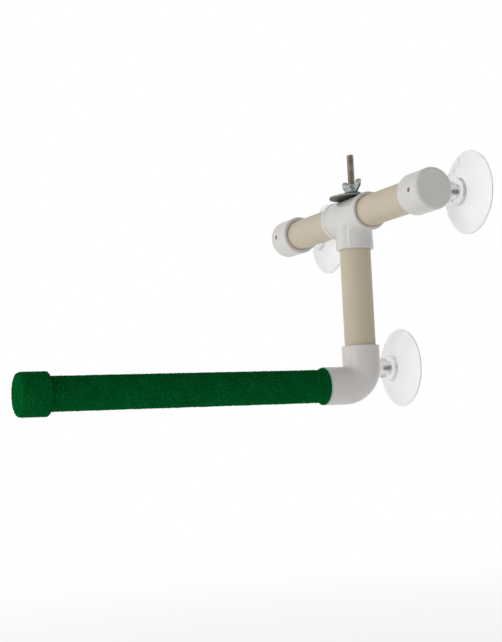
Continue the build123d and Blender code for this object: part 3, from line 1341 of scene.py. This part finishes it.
@dataclass(frozen=True)
class Lamp:
    """Area lamp that faces the object; azimuth 0 is in front of it and 90 on its right."""

    name: str
    azimuth: float
    height: float
    away: float
    width: float
    tall: float
    watts: float

    def hang(self) -> None:
        """Put the lamp in the scene."""
        low, high = CAD_BOX
        centre = (low + high) / 2
        turn, rise = math.radians(self.azimuth), math.radians(self.height)
        flat = math.cos(rise)
        back = Vector((math.sin(turn) * flat, -math.cos(turn) * flat, math.sin(rise)))
        data = bpy.data.lights.new(self.name, "AREA")
        data.shape = "RECTANGLE"
        data.size, data.size_y, data.energy = self.width, self.tall, self.watts
        lamp = bpy.data.objects.new(self.name, data)
        lamp.rotation_mode = "QUATERNION"
        lamp.rotation_quaternion = back.to_track_quat("Z", "Y")
        lamp.location = centre + back * self.away
        lamp.visible_transmission = False
        bpy.context.scene.collection.objects.link(lamp)


@dataclass(frozen=True)
class Studio:
    """White studio: a pale floor, soft lamps and the camera at the photograph's angle."""

    eye: Triple = (1.00145, -0.61031, -0.19157)
    azimuth: float = 64.96
    tilt: float = 5.196
    roll: float = -2.676
    lens: float = 74.87
    floor_z: float = -0.42
    floor_reach: float = 30.0
    floor_colour: Colour = (0.88, 0.88, 0.88, 1)
    floor_rough: float = 0.9
    floor_glow: float = 0.5
    floor_fade: Pair = (0.5, 1.3)
    floor_shown: Pair = (0.84, 1.0)
    surround: float = 0.36
    lamps: tuple[Lamp, ...] = (
        Lamp("strip_key", 21.5, 8, 1.6, 0.2, 1.5, 5.5),
        Lamp("soft_left", -35, 18, 1.8, 1.4, 1.4, 5.0),
        Lamp("low_bounce", -20, -11, 1.2, 1.2, 0.25, 2.4),
    )

    def build(self) -> None:
        """Set up the colour management, world, floor, lamps and camera."""
        scene = bpy.context.scene
        scene.view_settings.view_transform = "Standard"
        scene.world = self.world()
        self.floor()
        for lamp in self.lamps:
            lamp.hang()
        self.camera()

    def world(self) -> bpy.types.World:
        """White where it is seen, mirrored or seen through, and soft grey where it only lights.

        Returns:
            The world.
        """
        world = bpy.data.worlds.new("studio_white")
        world.use_nodes = True
        nodes, links = world.node_tree.nodes, world.node_tree.links
        path = nodes.new("ShaderNodeLightPath")
        seen = path.outputs["Is Camera Ray"]
        for ray in LOOKING_RAYS:
            highest = nodes.new("ShaderNodeMath")
            highest.operation = "MAXIMUM"
            links.new(seen, highest.inputs[0])
            links.new(path.outputs[ray], highest.inputs[1])
            seen = highest.outputs[0]
        strength = nodes.new("ShaderNodeMapRange")
        strength.inputs["To Min"].default_value = self.surround
        links.new(seen, strength.inputs["Value"])
        background = nodes["Background"]
        background.inputs["Color"].default_value = WHITE
        links.new(strength.outputs["Result"], background.inputs["Strength"])
        return world

    def floor(self) -> None:
        """Pale floor that shows white far off and keeps a faint shadow near the object."""
        reach, low = self.floor_reach, self.floor_z
        mesh = bpy.data.meshes.new("floor")
        sides = ((-1, -1), (1, -1), (1, 1), (-1, 1))
        mesh.from_pydata([(x * reach, y * reach, low) for x, y in sides], [], [(0, 1, 2, 3)])
        floor = bpy.data.objects.new("floor", mesh)
        bpy.context.scene.collection.objects.link(floor)
        surface = Surface("floor_white")
        surface.feed(surface.shader, base_color=self.floor_colour, roughness=self.floor_rough)
        surface.feed(surface.shader, specular_ior_level=0.0)
        glow = surface.feed(surface.add("ShaderNodeEmission"), color=WHITE, strength=1.0)
        path = surface.add("ShaderNodeLightPath")
        seen = path.outputs["Is Camera Ray"]
        for ray in LOOKING_RAYS:
            seen = surface.work("MAXIMUM", seen, path.outputs[ray])
        away = surface.add("ShaderNodeVectorMath", operation="LENGTH")
        surface.put(away.inputs[0], surface.place)
        white = surface.levels(away.outputs["Value"], self.floor_fade, self.floor_shown)
        blend = surface.add("ShaderNodeMixShader")
        share = surface.work("MAXIMUM", surface.work("MULTIPLY", seen, white), self.floor_glow)
        for index, part in enumerate((share, surface.shader.outputs[0], glow.outputs[0])):
            surface.put(blend.inputs[index], part)
        output = surface.material.node_tree.nodes["Material Output"]
        surface.put(output.inputs["Surface"], blend.outputs[0])
        mesh.materials.append(surface.material)

    def camera(self) -> None:
        """Camera where the photograph was taken from."""
        data = bpy.data.cameras.new("camera")
        data.lens = self.lens
        camera = bpy.data.objects.new("camera", data)
        turn = Matrix.Rotation(math.radians(self.azimuth), 4, "Z")
        rise = Matrix.Rotation(math.radians(90 + self.tilt), 4, "X")
        lean = Matrix.Rotation(math.radians(self.roll), 4, "Z")
        camera.matrix_world = Matrix.Translation(self.eye) @ turn @ rise @ lean
        bpy.context.scene.collection.objects.link(camera)
        bpy.context.scene.camera = camera


@dataclass(frozen=True)
class PipeWork:
    """Tubes, fittings and caps, which keep their CAD meshes."""

    across: tuple[str, ...] = ("crossbar_tube_left", "crossbar_tube_right")
    caps: tuple[str, ...] = ("end_cap_left", "end_cap_right", "perch_end_cap")

    def dress(self, node: str, material: Material) -> None:
        """Give a CAD node's object a finish.

        Args:
            node: The CAD node.
            material: Its finish.
        """
        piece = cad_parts[node]
        piece.data.materials.clear()
        piece.data.materials.append(material)
        logger.info("%s keeps its CAD mesh, finished in %s", node, material.name)

    def build(self) -> None:
        """Finish every tube and fitting."""
        caps = MouldedVinyl("cap_vinyl", (0.70, 0.685, 0.66, 1.0)).material()
        for node in self.caps:
            self.dress(node, caps)
        tee = MouldedVinyl("tee_vinyl", rough=0.15, rough_spread=0.07)
        self.dress("tee_fitting", tee.material())
        self.dress("swivel_plug", MouldedVinyl("plug_vinyl").material())
        elbow = OversprayedVinyl(
            "elbow_vinyl",
            colour=(0.705, 0.68, 0.665, 1.0),
            stain=(0.65, 0.62, 0.60, 1.0),
            rough=0.27,
            rough_spread=0.06,
        )
        self.dress("elbow_fitting", elbow.material())
        tube = ExtrudedTube("tube_across", (0.02, 1, 1)).material()
        for node in self.across:
            self.dress(node, tube)
        self.dress("drop_tube", ExtrudedTube("tube_upright", (1, 1, 0.02)).material())
        self.dress("perch_tube", ExtrudedTube("tube_forward", (1, 0.02, 1)).material())


def main() -> None:
    """Build the object and its studio."""
    logging.basicConfig(level=logging.INFO, format="%(message)s")
    PipeWork().build()
    bolt = PlatedSteel(
        "dull_steel", (0.36, 0.31, 0.265, 1), (0.25, 0.205, 0.165, 1), 0.3, 0.1, patches=120
    )
    stud = PlatedSteel("stud_steel", (0.20, 0.165, 0.145, 1), (0.10, 0.075, 0.065, 1), 0.35)
    zinc = PlatedSteel(
        "zinc_steel", (0.36, 0.385, 0.37, 1), (0.10, 0.115, 0.11, 1), 0.3, patches=380
    )
    # Blue zinc tint for the small washers, darkened with painted shade.
    bright = PlatedSteel("blue_zinc", (0.055, 0.085, 0.13, 1), (0.025, 0.045, 0.07, 1), 0.25)
    dark = PlatedSteel("dark_steel", (0.24, 0.23, 0.18, 1), (0.12, 0.12, 0.10, 1), 0.35)
    clear, threads = ClearVinyl().material(), stud.material()
    for cup in (
        SuctionCup("left", -0.1188, 0.0, Body.CROSSBAR),
        SuctionCup("right", 0.1188, 0.0, Body.CROSSBAR),
        SuctionCup("lower", 0.0, -0.1325, Body.ARM),
    ):
        cup.build(clear, threads)
    SwivelHardware().build(*(steel.material() for steel in (bolt, zinc, bright, dark)))
    # In each finish the second colour is painted shade in the pits and the third a painted
    # highlight on the grains.
    paint = GritPaint("green_paint", (0.001, 0.05, 0.008, 1), (0.0015, 0.135, 0.028, 1))
    grit = GritPaint("green_grains", (0.001, 0.065, 0.011, 1), (0.008, 0.31, 0.085, 1), 1250)
    GritCoating().build(paint.material(), grit.material())
    Studio().build()


if __name__ == "__main__":
    main()
